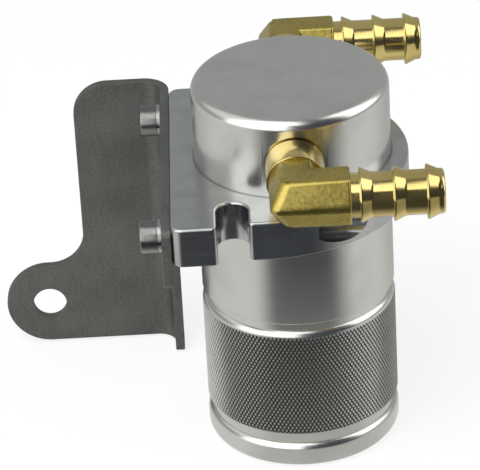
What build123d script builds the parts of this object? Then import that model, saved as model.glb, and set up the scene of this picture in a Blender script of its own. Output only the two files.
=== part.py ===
import os
from math import acos, ceil, cos, degrees, pi, radians, sin, sqrt, tan
from build123d import *

os.makedirs("parts", exist_ok=True)

# Turned head and cup, driving sizes in millimetres
bar_d = 69.85
cup_height = 60.0
neck_height = 37.1
neck_skim = 0.28
collar_thick = 14.7
dome_edge_r = 4.0
dome_above_port = 5.95
crown_t = 6.0
cup_wall = 3.7
spigot_len = 13.8
spigot_wall = 2.5
spigot_chamfer = 0.8
joint_bevel = 0.8
chamber_ledge = 2.0
chamber_bevel = 2.0

# Milled collar
collar_reach = 16.24
collar_lip = 6.11
mount_reach = 8.73
block_reach = 18.51
block_len = 15.72
block_corner_r = 4.0
notch_w = 11.04
notch_land = 0.7
notch_mouth_r = 1.6
collar_top_chamfer = 1.0
collar_low_chamfer = 0.5
screw_inset = 10.3
cross_hole_len = 23.9
counterbore_d = 11.0

# Cup details
base_band = 14.9
base_round = 4.2
base_lip_height = 7.65
base_lip_round = 2.9
base_groove_depth = 1.65
knurl_pitch = 6.1
knurl_depth = 0.5
knurl_lean = radians(30)
shoulder_band = 5.4
shoulder_skim = 0.25
shoulder_round = 3.0
rim_wall = 1.9
cup_floor_t = 5.0
sump_step = 0.7
sump_bevel = 2.4
thread_runout = 1.0
gland_drop = 7.8
gland_w = 3.2
gland_depth = 2.0

# Inner stack
ring_rise = 4.2
ring_t = 1.3
ring_radial = 2.6
ring_groove_depth = 1.3
ring_mouth = 10.4
screen_t = 1.5
screen_hole_flats = 6.4
screen_hole_pitch = 8.6
screen_rim = 2.4
media_height = 23.6
divider_t = 2.0

# Ports and brass elbows
port_lift = 1.95
shank_d = 20.6
shank_wall = 3.6
shank_len = 11.67
shank_setback = 0.6
elbow_flats = 17.7
elbow_heel = 1.51
flash_w = 2.4
forging_neck = 7.78
mitre_bevel = 2.4
barb_count = 3
barb_root_d = 15.5
barb_step = 1.65
barb_wall = 1.75
barb_neck = 3.0
barb_pitch = 11.3
barb_land = 0.5
barb_ramp = 4.0
barb_tip_len = 2.1
barb_tip_bevel = 1.2

# Folded bracket
sheet_t = 3.4
bend_in_r = 6.6
plate_standoff = 9.6
plate_width = 36.14
plate_corner_r = 12.9
arm_top_margin = 5.75
arm_height = 23.05
arm_overhang = 8.2
arm_corner_r = 3.0
return_flat = 6.18
return_corner_r = 4.0
ear_hole_d = 12.7
ear_rim = 10.06
ear_flat = 1.4
ear_fillet_r = 13.27

# Screws and washers
screw_d = 7.0
screw_reach = 11.0
screw_head_over = 2.3
screw_head_h = 6.1
screw_head_chamfer = 0.6
socket_flats = 5.5
socket_depth = 3.2
washer_t = 1.3
washer_rim = 1.95
washer_slit = 0.9

# Named clearances, and how far a cut runs past the face that it opens
thread_clear = 0.2
screw_hole_clear = 0.4
washer_clear = 0.25
slot_clear = 0.1
drop_in_clear = 0.25
seal_clear = 0.03
base_clear = 1.0
port_ring_gap = 0.5
past = 1.0
snap = 0.01

# Radii and heights of the turned head
bar_r = bar_d / 2
shank_r = shank_d / 2
port_face_r = shank_r + port_ring_gap
neck_r = bar_r - neck_skim
cup_bore_r = bar_r - cup_wall
spigot_r = cup_bore_r - thread_clear
media_bore_r = spigot_r - spigot_wall
chamber_r = media_bore_r - chamber_ledge
cup_top_z = cup_height
spigot_bottom_z = cup_top_z - spigot_len
collar_bottom_z = cup_top_z + neck_height
collar_mid_z = collar_bottom_z + collar_thick / 2
collar_top_z = collar_bottom_z + collar_thick
port_z = collar_top_z + port_lift + port_face_r
can_height = port_z + port_face_r + dome_above_port
chamber_top_z = can_height - crown_t

# Collar plan and its cross holes
collar_arc_r = bar_r + collar_reach
collar_arc_x = bar_r + collar_lip - collar_arc_r
collar_left_x = -bar_r - mount_reach
block_half_y = bar_r + block_reach
notch_r = notch_w / 2
notch_x = collar_left_x + block_len + notch_r
notch_end_y = bar_r + notch_land
mouth_y = min(block_half_y, collar_arc_r)
screw_r = screw_d / 2
screw_y = block_half_y - screw_inset
screw_z = collar_mid_z
cross_hole_r = screw_r + screw_hole_clear
counterbore_r = counterbore_d / 2
counterbore_floor_x = notch_x + notch_r + cross_hole_len

# Inner stack, counted up from the retaining ring
ring_z = cup_top_z + ring_rise
lower_screen_z = ring_z + ring_t
mesh_z = lower_screen_z + screen_t
upper_screen_z = mesh_z + media_height
step_z = upper_screen_z + screen_t
drop_in_r = media_bore_r - drop_in_clear
ring_out_r = media_bore_r + ring_groove_depth
screen_hole_r = screen_hole_flats / 2
screen_rows = 2 * ceil(drop_in_r / screen_hole_pitch) + 1

# Elbow stations
hex_vertex = elbow_flats / sqrt(3)
flash_half = flash_w / 2
flash_x = hex_vertex - flash_half / sqrt(3)
shank_bore_r = shank_r - shank_wall
shank_inner_y = chamber_r + shank_setback
hex_start_y = bar_r + shank_len
barb_axis_y = hex_start_y + hex_vertex + elbow_heel
forging_end_x = hex_vertex + forging_neck
root_r = barb_root_d / 2
crest_r = root_r + barb_step
barb_bore_r = root_r - barb_wall
barb_first_x = forging_end_x + barb_neck
barb_tip_x = barb_first_x + (barb_count - 1) * barb_pitch + barb_ramp + barb_tip_len

# Cup stations
shoulder_r = bar_r - shoulder_skim
rim_r = cup_bore_r + rim_wall
shoulder_sweep = degrees(acos(1 - (shoulder_r - rim_r) / shoulder_round))
knurl_bottom_z = base_band
knurl_top_z = cup_top_z - shoulder_band
knurl_root_r = bar_r - knurl_depth
knurl_teeth = round(2 * pi * bar_r / knurl_pitch)
knurl_rows = 2 * round((knurl_top_z - knurl_bottom_z) * tan(knurl_lean) / knurl_pitch)
knurl_row_h = (knurl_top_z - knurl_bottom_z) / knurl_rows
base_groove_r = bar_r - base_groove_depth
base_lip_sweep = degrees(acos(1 - base_groove_depth / base_lip_round))
sump_r = cup_bore_r - sump_step
thread_end_z = spigot_bottom_z - thread_runout
gland_z = cup_top_z - gland_drop
gland_r = cup_bore_r + gland_depth

# Bracket stations
flange_in_x = collar_left_x
flange_out_x = flange_in_x - sheet_t
bend_out_r = bend_in_r + sheet_t
plate_front_y = block_half_y + plate_standoff
plate_back_y = plate_front_y + sheet_t
plate_left_x = flange_in_x - plate_width
bracket_top_z = screw_z + arm_top_margin
arm_bottom_z = bracket_top_z - arm_height
arm_end_y = -screw_y - arm_overhang
return_front_y = plate_back_y - bend_out_r - return_flat
ear_hole_r = ear_hole_d / 2
ear_r = ear_hole_r + ear_rim
ear_x = plate_left_x - ear_fillet_r - ear_flat
ear_z = base_clear + ear_r

# Screw and washer stations
washer_in_r = screw_r + washer_clear
washer_out_r = washer_in_r + washer_rim
head_r = screw_r + screw_head_over
head_seat_x = flange_out_x - washer_t
head_face_x = head_seat_x - screw_head_h


# Head: collar plan first, so its edges are broken before the turned body joins it
with BuildPart() as head:
    with BuildSketch(Plane.XY.offset(collar_bottom_z)) as collar_plan:
        with BuildLine():
            front_run = Polyline(
                (collar_left_x, 0),
                (collar_left_x, -block_half_y),
                (notch_x, -block_half_y),
                (notch_x, -collar_arc_r),
                (collar_arc_x, -collar_arc_r),
            )
            rear_run = Polyline(
                (collar_left_x, 0),
                (collar_left_x, block_half_y),
                (notch_x, block_half_y),
                (notch_x, collar_arc_r),
                (collar_arc_x, collar_arc_r),
            )
            ThreePointArc(front_run @ 1, (collar_arc_x + collar_arc_r, 0), rear_run @ 1)
        make_face()
        with Locations((notch_x, -block_half_y), (notch_x, block_half_y)):
            Rectangle(notch_w, 2 * (block_half_y - notch_end_y - notch_r), mode=Mode.SUBTRACT)
        with Locations((notch_x, -notch_end_y - notch_r), (notch_x, notch_end_y + notch_r)):
            Circle(notch_r, mode=Mode.SUBTRACT)
        left_corners = collar_plan.vertices().group_by(Axis.X)[0].filter_by(
            lambda v: abs(v.Y) > notch_r
        )
        fillet(left_corners, radius=block_corner_r)
        mouth_corners = collar_plan.vertices().filter_by(
            lambda v: abs(abs(v.X - notch_x) - notch_r) < snap and abs(v.Y) > mouth_y - snap
        )
        fillet(mouth_corners, radius=notch_mouth_r)
    extrude(amount=collar_thick)
    chamfer(head.edges().group_by(Axis.Z)[-1], length=collar_top_chamfer)
    chamfer(head.edges().group_by(Axis.Z)[0], length=collar_low_chamfer)
    with BuildSketch(Plane.XZ) as turned_section:
        with BuildLine():
            Polyline(
                (0, spigot_bottom_z),
                (spigot_r - spigot_chamfer, spigot_bottom_z),
                (spigot_r, spigot_bottom_z + spigot_chamfer),
                (spigot_r, cup_top_z),
                (neck_r - joint_bevel, cup_top_z),
                (neck_r, cup_top_z + joint_bevel),
                (neck_r, collar_mid_z),
                (bar_r, collar_mid_z),
                (bar_r, can_height),
                (0, can_height),
                close=True,
            )
        make_face()
    revolve(axis=Axis.Z)
    fillet(head.edges().filter_by(GeomType.CIRCLE).group_by(Axis.Z)[-1], radius=dome_edge_r)
    with BuildSketch(Plane.XZ) as cavity_section:
        with BuildLine():
            Polyline(
                (0, spigot_bottom_z - past),
                (media_bore_r, spigot_bottom_z - past),
                (media_bore_r, step_z),
                (chamber_r, step_z),
                (chamber_r, chamber_top_z - chamber_bevel),
                (chamber_r - chamber_bevel, chamber_top_z),
                (0, chamber_top_z),
                close=True,
            )
        make_face()
    revolve(axis=Axis.Z, mode=Mode.SUBTRACT)
    with BuildSketch(Plane.XY.offset(ring_z)):
        Circle(ring_out_r)
    extrude(amount=ring_t, mode=Mode.SUBTRACT)
    with BuildSketch(Plane.XY.offset(step_z)):
        Rectangle(2 * (drop_in_r + slot_clear), divider_t + 2 * slot_clear)
    extrude(amount=chamber_top_z - step_z, mode=Mode.SUBTRACT)
    with BuildSketch(Plane.XZ):
        with Locations((0, port_z)):
            Circle(shank_r)
    extrude(amount=bar_r + past, both=True, mode=Mode.SUBTRACT)
    for side in (-1, 1):
        spot_y = side * sqrt(bar_r**2 - port_face_r**2)
        with BuildSketch(Plane(origin=(0, spot_y, port_z), x_dir=(1, 0, 0), z_dir=(0, side, 0))):
            Circle(port_face_r)
        extrude(amount=bar_r, mode=Mode.SUBTRACT)
    with BuildSketch(Plane.YZ.offset(collar_left_x)):
        with Locations((-screw_y, screw_z), (screw_y, screw_z)):
            Circle(screw_r)
    extrude(amount=notch_x - collar_left_x, mode=Mode.SUBTRACT)
    with BuildSketch(Plane.YZ.offset(notch_x)):
        with Locations((-screw_y, screw_z), (screw_y, screw_z)):
            Circle(cross_hole_r)
    extrude(amount=counterbore_floor_x - notch_x, mode=Mode.SUBTRACT)
    with BuildSketch(Plane.YZ.offset(counterbore_floor_x)):
        with Locations((-screw_y, screw_z), (screw_y, screw_z)):
            Circle(counterbore_r)
    extrude(amount=2 * bar_r, mode=Mode.SUBTRACT)
head.part.label = "head"
export_step(head.part, "parts/head.step")


# Corner of the knurled band: crests and roots by turns, round each ring and from row to row
def knurl_corner(row, step):
    radius = bar_r if (row + step) % 2 == 0 else knurl_root_r
    angle = pi * step / knurl_teeth
    return (radius * cos(angle), radius * sin(angle), knurl_bottom_z + row * knurl_row_h)


# Cup: turned outside, then its band of diamonds between crossing furrows, then the turned bore
with BuildPart() as cup:
    with BuildSketch(Plane.XZ) as cup_section:
        with BuildLine():
            base_run = Polyline((0, 0), (bar_r, 0), (bar_r, base_lip_height))
            lip_edge = JernArc(base_run @ 1, (0, 1), base_lip_round, base_lip_sweep)
            band_run = Polyline(
                lip_edge @ 1,
                (base_groove_r, knurl_top_z),
                (shoulder_r, knurl_top_z),
            )
            shoulder_edge = JernArc(band_run @ 1, (0, 1), shoulder_round, shoulder_sweep)
            Polyline(
                shoulder_edge @ 1,
                (rim_r, cup_top_z),
                (0, cup_top_z),
                (0, 0),
            )
        make_face()
        corner = cup_section.vertices().filter_by(lambda v: abs(v.X - bar_r) < snap and v.Y < snap)
        fillet(corner, radius=base_round)
    revolve(axis=Axis.Z)
    band_faces = []
    for row in range(knurl_rows):
        for step in range(2 * knurl_teeth):
            low = knurl_corner(row, step)
            low_next = knurl_corner(row, step + 1)
            high = knurl_corner(row + 1, step)
            high_next = knurl_corner(row + 1, step + 1)
            if (row + step) % 2 == 0:
                flanks = ((low, low_next, high), (low_next, high_next, high))
            else:
                flanks = ((low, low_next, high_next), (low, high_next, high))
            band_faces += [Face(Wire.make_polygon(flank)) for flank in flanks]
    for row in (0, knurl_rows):
        ring = [knurl_corner(row, step) for step in range(2 * knurl_teeth)]
        band_faces.append(Face(Wire.make_polygon(ring)))
    add(Solid(Shell(band_faces)))
    with BuildSketch(Plane.XZ) as bore_section:
        with BuildLine():
            Polyline(
                (0, cup_floor_t),
                (sump_r - sump_bevel, cup_floor_t),
                (sump_r, cup_floor_t + sump_bevel),
                (sump_r, thread_end_z),
                (cup_bore_r, thread_end_z),
                (cup_bore_r, gland_z),
                (gland_r, gland_z),
                (gland_r, gland_z + gland_w),
                (cup_bore_r, gland_z + gland_w),
                (cup_bore_r, cup_top_z + past),
                (0, cup_top_z + past),
                close=True,
            )
        make_face()
    revolve(axis=Axis.Z, mode=Mode.SUBTRACT)
cup.part.label = "cup"
export_step(cup.part, "parts/cup.step")


# Square-cut seal ring lying in the cup's inner gland
with BuildPart() as cup_seal:
    with BuildSketch(Plane.XY.offset(gland_z)):
        Circle(gland_r - seal_clear)
        Circle(spigot_r + seal_clear, mode=Mode.SUBTRACT)
    extrude(amount=gland_w)
cup_seal.part.label = "cup_seal"
export_step(cup_seal.part, "parts/cup_seal.step")


# Brass elbows: the same forging on both sides of the dome
for side, name in ((-1, "front_hose_elbow"), (1, "rear_hose_elbow")):
    with BuildPart() as elbow:
        arm_plane = Plane(origin=(0, side * hex_start_y, port_z), x_dir=(1, 0, 0), z_dir=(0, side, 0))
        with BuildLine() as spine:
            Polyline(
                (0, side * hex_start_y, port_z),
                (0, side * barb_axis_y, port_z),
                (forging_end_x, side * barb_axis_y, port_z),
            )
        with BuildSketch(arm_plane):
            with BuildLine():
                Polyline(
                    (-hex_vertex / 2, elbow_flats / 2),
                    (hex_vertex / 2, elbow_flats / 2),
                    (flash_x, flash_half),
                    (flash_x, -flash_half),
                    (hex_vertex / 2, -elbow_flats / 2),
                    (-hex_vertex / 2, -elbow_flats / 2),
                    (-flash_x, -flash_half),
                    (-flash_x, flash_half),
                    close=True,
                )
            make_face()
        sweep(path=spine.wires()[0], transition=Transition.RIGHT)
        outer_mitre = elbow.edges().filter_by(
            lambda e: abs(e.center().X - (barb_axis_y - side * e.center().Y)) < snap
            and e.center().X < -hex_vertex / 4
        )
        chamfer(outer_mitre, length=mitre_bevel)
        shank_plane = Plane(origin=(0, side * shank_inner_y, port_z), x_dir=(1, 0, 0), z_dir=(0, side, 0))
        with BuildSketch(shank_plane):
            Circle(shank_r)
        extrude(amount=hex_start_y - shank_inner_y)
        with BuildSketch(Plane(origin=(0, side * barb_axis_y, port_z), x_dir=(1, 0, 0), z_dir=(0, -1, 0))):
            with BuildLine():
                profile = [(forging_end_x - past, 0), (forging_end_x - past, root_r)]
                for turn in range(barb_count):
                    crest_x = barb_first_x + turn * barb_pitch
                    profile.append((crest_x, root_r))
                    profile.append((crest_x, crest_r))
                    profile.append((crest_x + barb_land, crest_r))
                    profile.append((crest_x + barb_ramp, root_r))
                profile.append((barb_tip_x - barb_tip_bevel, root_r))
                profile.append((barb_tip_x, root_r - barb_tip_bevel))
                profile.append((barb_tip_x, 0))
                Polyline(*profile, close=True)
            make_face()
        revolve(axis=Axis((0, side * barb_axis_y, port_z), (1, 0, 0)))
        with BuildSketch(Plane.YZ.offset(barb_tip_x)):
            with Locations((side * barb_axis_y, port_z)):
                Circle(barb_bore_r)
        extrude(amount=-barb_tip_x, mode=Mode.SUBTRACT)
        with BuildSketch(shank_plane):
            Circle(shank_bore_r)
        extrude(amount=barb_axis_y - shank_inner_y + barb_bore_r / 2, mode=Mode.SUBTRACT)
    elbow.part.label = name
    export_step(elbow.part, "parts/" + name + ".step")


# Bracket: folded strip in plan, trimmed by the flat outlines of its two leaves
with BuildPart() as bracket:
    with BuildSketch(Plane.XY.offset(base_clear)):
        with BuildLine():
            Polyline(
                (ear_x - ear_r, plate_front_y),
                (flange_out_x - bend_in_r, plate_front_y),
            )
            RadiusArc(
                (flange_out_x - bend_in_r, plate_front_y),
                (flange_out_x, plate_front_y - bend_in_r),
                bend_in_r,
            )
            Polyline(
                (flange_out_x, plate_front_y - bend_in_r),
                (flange_out_x, arm_end_y),
                (flange_in_x, arm_end_y),
                (flange_in_x, plate_back_y - bend_out_r),
            )
            RadiusArc(
                (flange_in_x, plate_back_y - bend_out_r),
                (flange_in_x - bend_out_r, plate_back_y),
                -bend_out_r,
            )
            Polyline(
                (flange_in_x - bend_out_r, plate_back_y),
                (ear_x - ear_r, plate_back_y),
                (ear_x - ear_r, plate_front_y),
            )
        make_face()
    extrude(amount=bracket_top_z - base_clear)
    with BuildSketch(Plane.XZ) as plate_outline:
        with BuildLine():
            Polyline(
                (flange_in_x + past, base_clear),
                (ear_x, base_clear),
            )
            ThreePointArc((ear_x, base_clear), (ear_x - ear_r, ear_z), (ear_x, ear_z + ear_r))
            Polyline(
                (ear_x, ear_z + ear_r),
                (plate_left_x - ear_fillet_r, ear_z + ear_r),
            )
            RadiusArc(
                (plate_left_x - ear_fillet_r, ear_z + ear_r),
                (plate_left_x, ear_z + ear_r + ear_fillet_r),
                -ear_fillet_r,
            )
            Polyline(
                (plate_left_x, ear_z + ear_r + ear_fillet_r),
                (plate_left_x, bracket_top_z - plate_corner_r),
            )
            RadiusArc(
                (plate_left_x, bracket_top_z - plate_corner_r),
                (plate_left_x + plate_corner_r, bracket_top_z),
                plate_corner_r,
            )
            Polyline(
                (plate_left_x + plate_corner_r, bracket_top_z),
                (flange_in_x + past, bracket_top_z),
                (flange_in_x + past, base_clear),
            )
        make_face()
        with Locations((ear_x, ear_z)):
            Circle(ear_hole_r, mode=Mode.SUBTRACT)
    extrude(amount=plate_back_y + past, both=True, mode=Mode.INTERSECT)
    with BuildSketch(Plane.YZ) as flange_outline:
        with BuildLine():
            Polyline(
                (plate_back_y + past, base_clear),
                (return_front_y, base_clear),
                (return_front_y, arm_bottom_z),
                (arm_end_y, arm_bottom_z),
                (arm_end_y, bracket_top_z),
                (plate_back_y + past, bracket_top_z),
                close=True,
            )
        make_face()
        corner = flange_outline.vertices()
        fillet(corner.filter_by(lambda v: v.X < arm_end_y + snap), radius=arm_corner_r)
        corner = flange_outline.vertices()
        fillet(
            corner.filter_by(lambda v: abs(v.X - return_front_y) < snap and v.Y > base_clear + snap),
            radius=return_corner_r,
        )
        with Locations((-screw_y, screw_z), (screw_y, screw_z)):
            Circle(cross_hole_r, mode=Mode.SUBTRACT)
    extrude(amount=ear_r + past - ear_x, both=True, mode=Mode.INTERSECT)
bracket.part.label = "bracket"
export_step(bracket.part, "parts/bracket.step")


# Split lock washers between screw heads and bracket arm
with BuildPart() as lock_washers:
    with BuildSketch(Plane.YZ.offset(head_seat_x)):
        with Locations((-screw_y, screw_z), (screw_y, screw_z)):
            Circle(washer_out_r)
            Circle(washer_in_r, mode=Mode.SUBTRACT)
        with Locations((-screw_y - washer_out_r, screw_z), (screw_y - washer_out_r, screw_z)):
            Rectangle(2 * (washer_out_r - washer_in_r / 2), washer_slit, mode=Mode.SUBTRACT)
    extrude(amount=washer_t)
lock_washers.part.label = "lock_washers"
export_step(lock_washers.part, "parts/lock_washers.step")


# Socket cap screws
with BuildPart() as bracket_screws:
    with BuildSketch(Plane.YZ.offset(head_face_x)):
        with Locations((-screw_y, screw_z), (screw_y, screw_z)):
            Circle(head_r)
    extrude(amount=screw_head_h)
    chamfer(bracket_screws.edges().group_by(Axis.X)[0], length=screw_head_chamfer)
    with BuildSketch(Plane.YZ.offset(head_face_x)):
        with Locations((-screw_y, screw_z), (screw_y, screw_z)):
            RegularPolygon(radius=socket_flats / 2, side_count=6, major_radius=False)
    extrude(amount=socket_depth, mode=Mode.SUBTRACT)
    with BuildSketch(Plane.YZ.offset(head_seat_x)):
        with Locations((-screw_y, screw_z), (screw_y, screw_z)):
            Circle(screw_r)
    extrude(amount=washer_t + sheet_t + screw_reach)
bracket_screws.part.label = "bracket_screws"
export_step(bracket_screws.part, "parts/bracket_screws.step")


# Divider plate standing in the dome on the upper screen
with BuildPart() as divider_plate:
    with BuildSketch(Plane.XY.offset(step_z)):
        Rectangle(2 * drop_in_r, divider_t)
    extrude(amount=chamber_top_z - step_z - slot_clear)
divider_plate.part.label = "divider_plate"
export_step(divider_plate.part, "parts/divider_plate.step")


# Perforated screens above and below the mesh
for name, floor_z in (("lower_screen", lower_screen_z), ("upper_screen", upper_screen_z)):
    with BuildPart() as screen:
        with BuildSketch(Plane.XY.offset(floor_z)):
            Circle(drop_in_r)
            grid = HexLocations(screen_hole_pitch / 2, screen_rows, screen_rows).local_locations
            reach = drop_in_r - screen_rim - screen_hole_r
            with Locations(*[spot for spot in grid if spot.position.length < reach]):
                RegularPolygon(screen_hole_r, side_count=6, major_radius=False, mode=Mode.SUBTRACT)
        extrude(amount=screen_t)
    screen.part.label = name
    export_step(screen.part, "parts/" + name + ".step")


# Mesh pack held between the screens
with BuildPart() as coalescing_mesh:
    with BuildSketch(Plane.XY.offset(mesh_z)):
        Circle(drop_in_r)
    extrude(amount=media_height)
coalescing_mesh.part.label = "coalescing_mesh"
export_step(coalescing_mesh.part, "parts/coalescing_mesh.step")


# Sprung retaining ring in its groove
with BuildPart() as retaining_ring:
    with BuildSketch(Plane.XY.offset(ring_z)):
        Circle(ring_out_r)
        Circle(ring_out_r - ring_radial, mode=Mode.SUBTRACT)
        with Locations((-ring_out_r, 0)):
            Rectangle(2 * (ring_radial + past), ring_mouth, mode=Mode.SUBTRACT)
    extrude(amount=ring_t)
retaining_ring.part.label = "retaining_ring"
export_step(retaining_ring.part, "parts/retaining_ring.step")
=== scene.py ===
"""A turned aluminium oil catch can with a knurled cup, brass hose elbows and a folded steel bracket.

Sizes are in millimetres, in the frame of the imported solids, and a piece becomes metres when it is placed.
The studio's own sizes are in metres.
"""

import logging
import math
from dataclasses import dataclass, field
from enum import Enum
from typing import Sequence, Union

import bmesh
import bpy
from mathutils import Matrix, Vector


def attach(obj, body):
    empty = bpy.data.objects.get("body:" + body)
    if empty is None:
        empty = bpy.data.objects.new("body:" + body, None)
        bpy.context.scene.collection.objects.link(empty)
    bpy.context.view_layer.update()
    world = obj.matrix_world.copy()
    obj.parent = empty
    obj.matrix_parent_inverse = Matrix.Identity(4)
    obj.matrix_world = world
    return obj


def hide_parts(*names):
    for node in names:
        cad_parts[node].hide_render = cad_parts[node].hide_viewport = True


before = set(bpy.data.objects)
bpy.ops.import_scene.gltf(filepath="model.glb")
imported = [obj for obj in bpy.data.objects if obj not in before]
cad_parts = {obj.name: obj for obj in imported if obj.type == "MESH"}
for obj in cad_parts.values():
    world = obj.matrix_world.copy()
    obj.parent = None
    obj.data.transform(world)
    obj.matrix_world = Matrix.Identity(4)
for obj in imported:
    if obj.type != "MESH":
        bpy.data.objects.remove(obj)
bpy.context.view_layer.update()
log = logging.getLogger("catch_can")

MM = 0.001
TINY = 1e-4
# A rounding that takes up its whole run stops just short of it, so that its ends stay apart.
NEARLY = 0.999
Colour = tuple[float, float, float]
Corner = tuple[float, float, float]
ORIGIN: Corner = (0.0, 0.0, 0.0)
WHITE: Colour = (1.0, 1.0, 1.0)

# Sizes that more than one sub-assembly uses.
BAR_R = 34.925
KNURL_ROOT_R = 34.3
CUP_TOP = 60.0
PORT_Z = 124.55
ARM_FACE_X = -43.655
SCREW_Y = 43.135
SCREW_Z = 104.45
SCREW_HOLE_R = 3.9


class Turn(Enum):
    """The axis that a turned piece is spun about."""

    X = (1.0, 0.0, 0.0)
    Y = (0.0, 1.0, 0.0)
    Z = (0.0, 0.0, 1.0)


class Sheet(Enum):
    """The plane that an outline is drawn on."""

    XY = "plan"
    XZ = "section"


class Side(Enum):
    """The side of the dome that an elbow is screwed into."""

    FRONT = -1
    REAR = 1


class Body(Enum):
    """The moving bodies that new pieces ride on."""

    CAN = "can"
    CUP = "cup"


class Slot(Enum):
    """The record's material slots, passed along with each new piece but not given to it."""

    ALUMINIUM = "machined_aluminium"
    BRASS = "forged_brass"
    DARK_STEEL = "dark_steel"
    PLATED = "plated_steel"


class Profile(Enum):
    """The upright sections of the studio's screens: distance, height and rounding of each corner."""

    WALL = ((1.3, 0.0, 0.0), (1.3, 1.25, 0.3), (0.25, 1.75, 0.0))
    SCRIM = ((1.2, 0.55, 0.0), (1.2, 1.2, 0.2), (0.5, 1.55, 0.0))
    PANEL = ((1.2, 0.28, 0.0), (1.2, 1.2, 0.2), (0.6, 1.55, 0.0))
    ROOF = ((1.1, 1.05, 0.0), (0.85, 1.25, 0.0), (0.2, 1.62, 0.0))
    CROWN = ((0.0, 1.8, 0.0), (0.4, 1.8, 0.0))
    GROUND = ((0.0, 0.001, 0.0), (1.3, 0.001, 0.0))


class Wire:
    """A shader socket that takes part in Python expressions."""

    def __init__(self, graph: "Graph", socket: bpy.types.NodeSocket) -> None:
        """Keeps the graph and the socket."""
        self.graph = graph
        self.socket = socket

    def _math(self, operation: str, first: "Value", second: "Value") -> "Wire":
        """Adds one Math node."""
        return self.graph.add("ShaderNodeMath", {"operation": operation}, {0: first, 1: second})

    def __add__(self, other: "Value") -> "Wire":
        """Adds a value."""
        return self._math("ADD", self, other)

    __radd__ = __add__

    def __sub__(self, other: "Value") -> "Wire":
        """Takes a value away."""
        return self._math("SUBTRACT", self, other)

    def __rsub__(self, other: "Value") -> "Wire":
        """Takes this away from a value."""
        return self._math("SUBTRACT", other, self)

    def __mul__(self, other: "Value") -> "Wire":
        """Multiplies by a value."""
        return self._math("MULTIPLY", self, other)

    __rmul__ = __mul__

    def __pow__(self, other: "Value") -> "Wire":
        """Raises to a power."""
        return self._math("POWER", self, other)

    def turned_to(self, other: "Value") -> "Wire":
        """Gives the angle of the point (other, this)."""
        return self._math("ARCTAN2", self, other)

    def at_least(self, other: "Value") -> "Wire":
        """Gives the larger of two values."""
        return self._math("MAXIMUM", self, other)

    def away(self, other: "Wire") -> "Wire":
        """Gives the distance of the point (this, other) from the axis."""
        return (self * self + other * other) ** 0.5

    def spread(self, reach: float) -> "Wire":
        """Centres a noise on 0 and gives it a reach."""
        return (self - 0.5) * reach

    def ramp(self, low: float, high: float) -> "Wire":
        """Rises smoothly from 0 at low to 1 at high."""
        sockets = {"Value": self, "From Min": low, "From Max": high}
        return self.graph.add("ShaderNodeMapRange", {"interpolation_type": "SMOOTHSTEP"}, sockets)

    def output(self, key: Union[str, int]) -> "Wire":
        """Gives another output of the same node."""
        return Wire(self.graph, Graph.find(self.socket.node.outputs, key))


Value = Union[Wire, float]
Paint = Union[Wire, Colour]


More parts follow.
